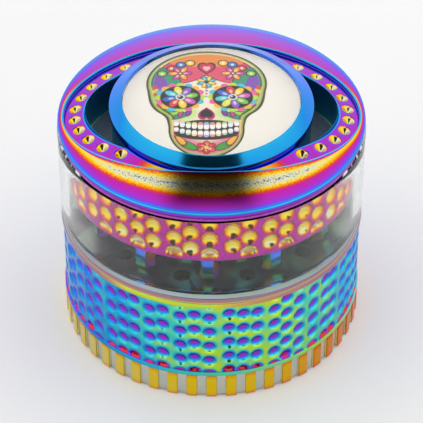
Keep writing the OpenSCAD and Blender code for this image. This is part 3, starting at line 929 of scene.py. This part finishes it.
    # Conical pits on an oval midway along the band
    x, y = r * np.cos(angle), r * np.sin(angle)
    pitA, pitB = (eyeA + pocketA) / 2, (eyeB + pocketB) / 2 - lid["pitShift"]
    away = np.full(r.shape, 9.0)
    leftward = np.zeros_like(away)
    for side in (-1, 1):
        for n in range(lid["pits"]):
            turn = math.radians((n / (lid["pits"] - 1) - 0.5) * lid["pitArc"])
            dx, dy = x - side * pitA * math.cos(turn), y - pitB * math.sin(turn)
            d = np.hypot(dx, dy) / lid["pitRadius"]
            leftward = np.where(d < away, -dx / np.maximum(np.hypot(dx, dy), 0.05), leftward)
            away = np.minimum(away, d)
    slope = 1 - away
    cone = np.where(away < 1.3, (slope + np.sqrt(slope ** 2 + 0.0025)) / 2, 0)
    z = z - lid["pitDepth"] * cone * inZone("band", "pocketLip")
    # Dimples on the skirt, faded out towards its plain upper and lower strips
    distance = nearestDimple(angle[None, :], z, lid["dimples"], skirtR)[0]
    bowl = bowlDepth(distance, lid["dimpleSlope"]) * lid["dimples"]["radius"]
    fade = easeStep(z, skirtBottom + 0.5, skirtBottom + 1.1) * easeStep(-z, -(lidZ - 0.6), -(lidZ - 1.3))
    r = r - bowl * fade * inZone("skirt")
    points = spin(r, z, angle)
    # The coating on the dome runs through two gold bands in front and one at the sides. In front, the
    # silver-grey dip between the two gold bands is a painted highlight
    t = np.clip((r - eye) / (domeEnd - eye), 0, 1)
    frontBandsAndHighlight = bands(t, [(0, 0.66), (0.02, 0.6), (0.035, 0.35), (0.06, 0.27), (0.12, 0.20), (0.19, 0.12),
                           (0.26, 0.06), (0.31, 0.045), (0.335, 0.012), (0.36, 0.045), (0.42, 0.06),
                           (0.49, 0.12), (0.55, 0.2), (0.60, 0.28), (0.66, 0.335), (0.78, 0.355),
                           (0.86, 0.40), (0.91, 0.45), (0.945, 0.53), (0.975, 0.62), (0.99, 0.72), (1, 0.62)])
    sideBands = bands(t, [(0, 0.62), (0.1, 0.6), (0.16, 0.45), (0.22, 0.10), (0.32, 0.15), (0.42, 0.22),
                          (0.5, 0.29), (0.6, 0.34), (0.72, 0.38), (0.84, 0.46), (0.93, 0.55), (1, 0.62)])
    backBands = bands(t, [(0, 0.62), (0.03, 0.33), (0.3, 0.365), (0.55, 0.40), (0.72, 0.43), (0.86, 0.48),
                          (0.94, 0.55), (1, 0.63)])
    facing = -np.sin(angle)
    inFront = easeStep(facing, 0.32, 0.8)
    behind = easeStep(-facing, 0.05, 0.5)
    coat = frontBandsAndHighlight * inFront + backBands * behind + sideBands * (1 - inFront - behind)
    pitGlow = np.exp(-((away - 1.15) / 0.35) ** 2)
    inPit = easeStep(-away, -1.08, -0.92)
    bandCoat = 0.352 + 0.085 * pitGlow
    bandCoat = bandCoat + (0.12 - bandCoat) * easeStep(facing, 0.72, 0.9)
    # Inside each pit the coating is gold on the left side and silver on the right; the silver is a painted
    # highlight
    pitCoatAndHighlight = 0.075 + 0.045 * leftward + 0.02 * away
    coat = np.where(inZone("band"), bandCoat * (1 - inPit) + pitCoatAndHighlight * inPit, coat)
    coat = np.where(inZone("core", "pocketWall"), 0.605 - 0.004 * (z - seatZ), coat)
    rollCoat = bands(z - lidZ, [(0, 0.34), (0.5, 0.36), (0.9, 0.40), (1.2, 0.47), (1.5, 0.62)])
    # In the loop below, the eye's lip turns a lighter teal in front: a painted highlight
    for place, value in (("pocketFloor", film["steel"]), ("pocketLip", 0.60), ("eyeWall", 0.56),
                         ("eyeLip", 0.62 + 0.05 * inFront), ("roll", rollCoat)):
        coat = np.where(inZone(place), value, coat)
    strip = easeStep(z, lidZ - 2.2, lidZ - 0.8)
    inBowl = 1 - easeStep(distance, 0.8, 1.04)
    skirtCoat = 0.335 + 0.05 * strip
    goldCoat = bands(distance, [(0, 0.095), (0.45, 0.11), (0.75, 0.125), (0.95, 0.17)])
    skirtCoat = skirtCoat + (goldCoat - skirtCoat) * inBowl * fade
    # The lowest row of skirt dimples turns silver: a painted highlight
    lowRowHighlight = inBowl * fade * easeStep(-z, -(skirtBottom + 3.0), -(skirtBottom + 1.5))
    skirtCoat = skirtCoat + (0.04 - skirtCoat) * lowRowHighlight
    coat = np.where(inZone("skirt", "skirtLip"), skirtCoat, coat)
    coat = np.where(inZone("under"), 0.52 + 0.01 * (z - plateZ), coat)
    rough = np.where(inZone("dome"), 0.11, 0.15)
    rough = np.where(inZone("pocketFloor", "core"), 0.8, rough)
    rough = np.where(inZone("pocketWall"), 0.38, rough)
    # The casting is left sandy in the pockets, and on the dome in front round the painted highlight
    sandy = easeStep(-np.abs(t - 0.33), -0.42, -0.12) * inFront + 0.12
    cast = np.where(inZone("dome"), sandy, np.where(inZone("pocketFloor", "core"), 1.0, 0.0))
    parts = gridParts(points, "poles", {"film": coat, "rough": rough, "cast": cast})
    addPiece("lidShell", parts, "lid", rainbowMetal, ["lid_shell"])


buildLid()
report("lid ready")


# Medallion: bezel, adhesive pad, printed disc and poured clear dome

medallion = {
    "bezelLip": 1.65, "bezelFlat": 0.15,   # mm above its seat, and the narrow flat on its inner edge
    "bezelCorner": 0.15, "bezelColumns": 480,
    "printCells": 290,                     # cells across the printed disc
    "artShift": 1.0,                       # mm that the art sits to the left of the middle
    "domeBed": 0.06,                       # mm that the resin has sunk into the card
    "domeEdge": 1.5, "domeCorner": 0.3, "domeColumns": 240,
}


def discGrid(cells, radius):
    # A square grid drawn out to a disc: each square ring becomes a circle
    s = np.linspace(-1, 1, cells + 1)
    u, v = np.meshgrid(s, s)
    ring = np.maximum(np.abs(u), np.abs(v))
    length = np.hypot(u, v)
    pull = np.where(length > 0, ring / np.maximum(length, 1e-9), 0)
    return radius * u * pull, radius * v * pull


def paintCard(u, v):
    # A folk-art sugar skull in millimetres. Each shape is a distance that is below 0 inside it, and
    # ink goes on in order, its share falling from 1 to 0 over a soft edge.
    ink = np.zeros(u.shape + (3,)) + colour("f1ece1")[:3]
    softEdge, inkLine, petalLine = 0.16, 0.2, 0.16

    def cover(distance, hexValue, share=1.0):
        # Mixes a colour in by how far inside the shape each point lies
        nonlocal ink
        alpha = (np.clip(0.5 - distance / softEdge, 0, 1) * share)[..., None]
        ink = ink * (1 - alpha) + np.array(colour(hexValue)[:3]) * alpha

    def oval(cx, cy, a, b, lean=0):
        # About the distance to an ellipse that is turned by the lean
        c, s = math.cos(math.radians(lean)), math.sin(math.radians(lean))
        x, y = (u - cx) * c + (v - cy) * s, -(u - cx) * s + (v - cy) * c
        length = np.hypot(x / a, y / b)
        return (length - 1) * min(a, b) * np.clip(length, 0.5, 1.2)

    def spots(cx, cy, *steps):
        # Round spots on one centre, the largest first
        for size, hexValue in steps:
            cover(oval(cx, cy, size, size), hexValue)

    def within(inset, shape, hexValue):
        # A shape cut off at a line that far inside the head's edge
        cover(np.maximum(shape, head + inset), hexValue)

    def leaf(inset, shape, inkHex, hexValue):
        # A shape with an ink line round it
        within(inset, shape - inkLine, inkHex)
        within(inset + 0.2, shape, hexValue)

    def petals(cx, cy, reach, a, b, hexValues, turn=0):
        # Outlined ovals round a centre, each with a pale streak near its root
        for n, hexValue in enumerate(hexValues):
            lean = turn + n * 360 / len(hexValues)
            c, s = math.cos(math.radians(lean)), math.sin(math.radians(lean))
            px, py = cx + reach * c, cy + reach * s
            cover(oval(px, py, a + petalLine, b + petalLine, lean), "14161c")
            cover(oval(px, py, a, b, lean), hexValue)
            cover(oval(px - 0.25 * a * c, py - 0.25 * a * s, a * 0.45, b * 0.4, lean), "fdf6dc", 0.55)

    def heart(cx, cy, size, hexValue, up=1):
        # A disc whose height is lifted by the root of the distance from its middle line
        x, y = (u - cx) / size, up * (v - cy) / size
        y = y - 0.62 * np.sqrt(np.abs(x) + 1e-6)
        cover((np.hypot(x, y) - 1) * size * 0.7, hexValue)

    def join(a, b, blend):
        # The nearer of two shapes, with the corner between them rounded off
        h = np.clip(0.5 + 0.5 * (b - a) / blend, 0, 1)
        return b * (1 - h) + a * h - blend * h * (1 - h)

    def wash(cx, cy, a, b, hexValue, share):
        # A soft-edged oval of thin colour
        cover(np.maximum(oval(cx, cy, a, b) * 0.07, (head + 0.5) * 0.5), hexValue, share)

    mirrored = (-1, 1)
    skull = join(oval(0, 6.4, 12.0, 10.8), oval(0, 0.4, 10.9, 6.6), 2.0)
    jaw = join(oval(0, -8.6, 7.3, 8.2), oval(0, -4.5, 7.6, 4.5), 1.5)
    head = join(skull, jaw, 1.0)
    for inset, hexValue in ((-0.3, "1c2a24"), (0.1, "a9b545"), (0.45, "f3ead2")):
        cover(head + inset, hexValue)
    # Warm washes on the brow and jaw, green ones on the cheeks
    wash(0, 12.5, 9, 4, "f6c83c", 0.8)
    for s in mirrored:
        wash(s * 9.5, 3.0, 3.4, 7.0, "5fae3c", 0.95)
        wash(s * 6.5, -3.6, 4.6, 2.2, "a6d636", 0.95)
        wash(s * 6.0, -9.5, 3.0, 3.6, "f08a3a", 0.9)
        wash(s * 5.0, -12.6, 3.4, 2.6, "d8388a", 0.9)
    wash(0, -15.0, 4.5, 2.4, "d23a3a", 0.9)
    # Crown: overlapping fields with rings, leaves and dots
    crown = join(oval(-4.8, 10.8, 5.9, 4.3, 24), oval(4.8, 10.8, 5.9, 4.3, -24), 0.6)
    crown = np.maximum(crown, head + 1.0)
    cover(crown - 0.25, "5a2030")
    cover(crown, "dc4a6c")
    within(0.8, oval(0, 14.2, 8.0, 2.4), "ee8a34")
    for s in mirrored:
        within(0.6, oval(s * 8.6, 7.2, 3.2, 4.8, s * -24), "123c30")
        within(0.8, oval(s * 8.6, 7.2, 3.0, 4.6, s * -24), "2f9470")
        within(1.0, oval(s * 9.7, 6.6, 1.6, 3.2, s * -18), "7d48b0")
        for n, hexValue in enumerate(("f2cf2d", "2f7fd0", "e2442f", "8bc53f")):
            cx, cy = s * (3.4 + 1.9 * n), 13.2 - 0.55 * n ** 1.7
            within(0.9, oval(cx, cy, 1.15, 1.15), "2a1d2e")
            within(1.0, oval(cx, cy, 0.85, 0.85), hexValue)
            spots(cx, cy, (0.32, "fff6e0"))
        petals(s * 5.4, 9.6, 1.35, 1.0, 0.55, ("c9419a", "f2a13a") * 3)
        spots(s * 5.4, 9.6, (0.6, "3a2440"), (0.3, "f7e35a"))
        for n in range(5):
            cx = s * 9.9 + 1.3 * s * math.cos(math.radians(40 * n)) * 0.5
            cover(oval(cx, 5.0 - 1.15 * n, 0.85, 0.4, s * (118 + 20 * n)), ("d8412f", "f0c830")[n % 2])
        # Cheek: curled leaves, a berry and two drops
        for n, hexValue in enumerate(("9ccc3c", "4aa64e", "9ccc3c", "2f8f84")):
            leaf(0.5, oval(s * (9.0 - 1.25 * n), -2.5 - 0.62 * n, 1.7, 0.62, s * (34 - 20 * n)), "16341c",
                 hexValue)
        spots(s * 9.1, -0.6, (0.95, "2a1018"), (0.75, "e0352b"), (0.3, "f9d65a"))
        for cx, cy, size, hexValue in ((3.6, -3.4, 1.0, "7a3aa6"), (5.2, -3.8, 0.85, "c83c86")):
            cover(oval(s * cx, cy, 0.45 * size + 0.18, size + 0.2, s * 14), "1c1420")
            cover(oval(s * cx, cy, 0.45 * size, size, s * 14), hexValue)
    # Brow: three hearts, a rosette and a row of beads
    for cy, size, hexValue in ((10.9, 1.9, "241020"), (10.95, 1.5, "c82248"), (11.0, 0.75, "f7b4c2")):
        heart(0, cy, size, hexValue)
    petals(0, 6.6, 1.15, 0.85, 0.42, ("39b3c8", "f0d23a") * 4, 22.5)
    spots(0, 6.6, (0.5, "28304a"))
    for n in range(4):
        spots(0, 4.6 - 0.95 * n, (0.36 - 0.04 * n, ("e0352b", "2f7fd0")[n % 2]))
    # Eyes: a flower on black, inside a scalloped ring
    flower = ("74c043", "8b5cc6", "e3dc3f", "4fc9d6", "2d5fcb", "df3329", "f1d02b", "cf58bb")
    for s in mirrored:
        for n in range(16):
            lean = math.radians(n * 22.5)
            spots(s * 5.3 + 4.25 * math.cos(lean), 1.6 + 3.9 * math.sin(lean),
                  (0.85, ("b9d83a", "e85f9a", "f2b632", "50b8d8")[n % 4]))
        cover(oval(s * 5.3, 1.6, 4.1, 3.75), "121417")
        petals(s * 5.3, 1.6, 2.25, 1.35, 0.78, flower if s < 0 else flower[::-1], 12)
        spots(s * 5.3, 1.6, (0.95, "d9dde0"), (0.62, "1b1b22"))
        spots(s * 5.3 - 0.2, 1.8, (0.2, "f4f6f8"))
    # Nose: an upturned heart with tinted sides
    for cy, size, hexValue in ((-3.4, 2.0, "f3ead2"), (-3.3, 1.75, "b3205e"), (-3.2, 1.3, "111114")):
        heart(0, cy, size, hexValue, -1)
    # Teeth: two rows of rounded blocks under coloured gums
    within(0.7, oval(0, -8.7, 7.0, 3.1), "241c22")
    gums = ("4f8fd8", "d8433a", "e8d34a", "9cc84a", "8fc7e0", "d8b4c8")
    for k in range(-5, 6):
        size = 0.52 - 0.012 * abs(k)
        upper, lower = 1.05 - 0.05 * abs(k), 0.95 - 0.06 * abs(k)
        for level, height, up in ((-7.55 + 0.035 * k * k, upper, 1), (-9.95 + 0.056 * k * k, lower, -1)):
            block = (np.abs((u - 1.2 * k) / size) ** 3 + np.abs((v - level) / height) ** 3) ** (1 / 3)
            block = (block - 1) * size
            cover(block, "fbfaf4")
            gum = np.abs(v - level - up * 0.62 * height) - 0.38 * height
            cover(np.maximum(block, gum), gums[abs(k)], 0.75)
    # Chin: a red bloom with leaves
    for s in mirrored:
        leaf(0.6, oval(s * 3.6, -13.4, 2.0, 0.85, s * 34), "1a2a1c", "3f9a3c")
        leaf(0.6, oval(s * 5.2, -11.9, 1.5, 0.7, s * 52), "1a2a1c", "f2b032")
    petals(0, -14.0, 0.95, 0.95, 0.62, ("d62f3f", "e2574a") * 3, 30)
    spots(0, -14.0, (0.45, "f6d24a"))
    return ink


def buildMedallion():
    # The bezel and the pad are lathed, the card is a fine grid, and the dome is part of a ball
    seatZ, bezelTop = heights("medallion_bezel")
    outer = outerRadius("medallion_bezel")
    inner = radiiNear("medallion_bezel", seatZ)[0]
    corner = medallion["bezelCorner"]
    lipZ = seatZ + medallion["bezelLip"]
    profile = outline([(inner, seatZ, 0.05), (outer, seatZ, 0.05), (outer, lipZ, corner),
                       (inner + medallion["bezelFlat"], bezelTop, corner), (inner, bezelTop, 0.05)],
                      step=0.25)

    def bezelCoat(r, z, angle):
        # Vivid blue, teal towards the front left, periwinkle behind and on the outer edge
        t = np.clip((r - inner) / (outer - inner), 0, 1)
        back = easeStep(np.sin(angle), -0.3, 0.8)
        coat = 0.58 - 0.07 * back - 0.03 * t + 0.035 * easeStep(-np.sin(angle), 0.2, 0.7)
        coat = np.where(z < lipZ - 0.3, 0.45, coat)
        return {"film": coat, "rough": 0.12 + 0 * coat}

    addPiece("bezel", lathe(profile, medallion["bezelColumns"], "ring", bezelCoat), "lid",
             rainbowMetal, ["medallion_bezel"])
    plainRing("adhesivePad", "medallion_pad", "lid", foamTape, rings["padCorner"],
              rings["padColumns"])
    # Printed disc: the painted top is a fine grid, closed by a wall and a flat underside
    low, high = heights("medallion_print")
    reach = outerRadius("medallion_print")
    cells = medallion["printCells"]
    u, v = discGrid(cells, reach)
    top = np.stack([u, v, np.full(u.shape, high)], -1)
    n = cells + 1
    index = np.arange(n * n).reshape(n, n)
    quads = np.stack([index[:-1, :-1], index[:-1, 1:], index[1:, 1:], index[1:, :-1]], -1).reshape(-1, 4)
    border = np.concatenate([index[0, :-1], index[:-1, -1], index[-1, :0:-1], index[:0:-1, 0]])
    wall = top.reshape(-1, 3)[border] * [1, 1, 0] + [0, 0, low]
    under = n * n + np.arange(len(border))
    nextUnder = np.roll(under, -1)
    sides = np.stack([border, under, nextUnder, np.roll(border, -1)], -1)
    centre = n * n + len(border)
    fan = np.stack([np.full(len(border), centre), nextUnder, under], -1)
    parts = {"points": np.vstack([top.reshape(-1, 3), wall, [[0, 0, low]]]),
             "quads": np.vstack([quads, sides]), "tris": fan, "traits": {}}
    card = addPiece("printedDisc", parts, "lid", printedCard, ["medallion_print"])
    ink = np.ones((len(parts["points"]), 4)) * colour("f1ece1")
    ink[:n * n, :3] = paintCard(u + medallion["artShift"], v).reshape(-1, 3)
    inkLayer = card.data.attributes.new("ink", "FLOAT_COLOR", "POINT")
    inkLayer.data.foreach_set("color", ink.astype(np.float32).ravel())
    # Clear dome, bedded in the card so that no film of air lies under it
    low, high = heights("medallion_dome")
    reach = outerRadius("medallion_dome")
    rise = high - low - medallion["domeEdge"]
    lens = (reach ** 2 / rise + rise) / 2
    edgeZ = low + medallion["domeEdge"]
    spread = np.linspace(1, 0, 40) * (reach - medallion["domeCorner"])
    crown = [(r, high - lens + math.sqrt(lens ** 2 - r * r)) for r in spread]
    bed = low - medallion["domeBed"]
    skin = outline([(0, bed, 0), (reach, bed, 0.02), (reach, edgeZ, medallion["domeCorner"]),
                    (crown[0][0], crown[0][1], 0)], closed=False)
    profile = np.vstack([skin, crown[1:]])
    addPiece("clearDome", lathe(profile, medallion["domeColumns"], "poles"), "lid",
             pouredResin, ["medallion_dome"])


buildMedallion()
report("medallion ready")


# Studio: a pale floor, an even pale surround, and three dark cards that give the metal its contrast

studio = {
    "floor": "fbfbfb", "floorSize": 3.0,      # metres
    "toneWidth": 125.0,                       # mm, of the paper's faint patches
    "surround": 1.2, "cardShade": 0.99,       # strength, and how much of it a card takes away
    # Middle, half depth, half width and blur of each overhead card, as parts of the sky's radius
    "cards": ((-0.01, 0.13, 0.25, 0.01), (0.42, 0.13, 0.15, 0.05)),
    "frontCard": (0.0, -0.72, 0.69), "frontStretch": (0.5, 1.0, 1.0), "frontReach": (0.28, 0.34),
    "eye": 0.480, "lift": 40.75,              # metres from the aim point, degrees above the floor
    "aimHeight": 0.0236, "lens": 193.0, "sensor": 36.0,
}


def buildStudio():
    # Light from every side is the surround's strength, times 1 less the dark cards' share
    scene = bpy.context.scene
    floorMaterial, tree = newTree("paperSweep")
    paper = rampColour(tree, noise(tree, studio["toneWidth"]), [(0.3, studio["floor"]), (0.7, "ffffff")])
    finishTree(tree, {"Base Color": paper, "Roughness": 0.9, "Specular IOR Level": 0.1})
    half = studio["floorSize"] / 2
    mesh = bpy.data.meshes.new("floor")
    mesh.from_pydata([(-half, -half, 0), (half, -half, 0), (half, half, 0), (-half, half, 0)], [],
                     [(0, 1, 2, 3)])
    mesh.materials.append(floorMaterial)
    sweep = bpy.data.objects.new("floor", mesh)
    scene.collection.objects.link(sweep)
    sweep.location.z = -0.00005

    world = bpy.data.worlds.new("studioSurround")
    world.use_nodes = True
    scene.world = world
    tree = world.node_tree
    tree.nodes.clear()
    direction = addNode(tree, "ShaderNodeTexCoord").outputs["Generated"]
    x, y, z = addNode(tree, "ShaderNodeSeparateXYZ", inputs={0: direction}).outputs

    def smooth(value, start, stop):
        # Falls from 1 to 0 between start and stop
        return addNode(tree, "ShaderNodeMapRange", {"interpolation_type": "SMOOTHSTEP"},
                       {0: value, 1: start, 2: stop, 3: 1.0, 4: 0.0}).outputs[0]

    def card(middle, halfDepth, halfWidth, blur):
        # A dark card overhead: its depth runs along y and its width along x
        past = calc(tree, "ABSOLUTE", calc(tree, "SUBTRACT", y, middle))
        across = smooth(calc(tree, "ABSOLUTE", x), halfWidth - blur, halfWidth + blur)
        along = smooth(past, halfDepth - blur, halfDepth + blur)
        above = calc(tree, "GREATER_THAN", z, 0.0)
        return calc(tree, "MULTIPLY", calc(tree, "MULTIPLY", across, along), above)

    # Two cards overhead, then a small wide one by the camera
    overhead = calc(tree, "MAXIMUM", *(card(*sizes) for sizes in studio["cards"]))
    narrowed = addNode(tree, "ShaderNodeVectorMath", {"operation": "MULTIPLY"},
                       {0: direction, 1: studio["frontStretch"]}).outputs["Vector"]
    toFront = addNode(tree, "ShaderNodeVectorMath", {"operation": "DISTANCE"},
                      {0: narrowed, 1: studio["frontCard"]}).outputs["Value"]
    dark = calc(tree, "MAXIMUM", overhead, smooth(toFront, *studio["frontReach"]))
    level = calc(tree, "MULTIPLY_ADD", dark, -studio["cardShade"], 1.0)
    strength = calc(tree, "MULTIPLY", level, studio["surround"])
    background = addNode(tree, "ShaderNodeBackground", inputs={"Color": (1, 1, 1, 1), "Strength": strength})
    addNode(tree, "ShaderNodeOutputWorld", inputs={"Surface": background.outputs[0]})

    cameraData = bpy.data.cameras.new("camera")
    cameraData.lens = studio["lens"]
    cameraData.sensor_width = studio["sensor"]
    cameraData.clip_start = 0.01
    camera = bpy.data.objects.new("camera", cameraData)
    scene.collection.objects.link(camera)
    lift = math.radians(studio["lift"])
    camera.location = (0, -studio["eye"] * math.cos(lift),
                       studio["aimHeight"] + studio["eye"] * math.sin(lift))
    camera.rotation_euler = (math.pi / 2 - lift, 0, 0)
    scene.camera = camera
    scene.view_settings.view_transform = "Standard"


buildStudio()
report("studio ready")
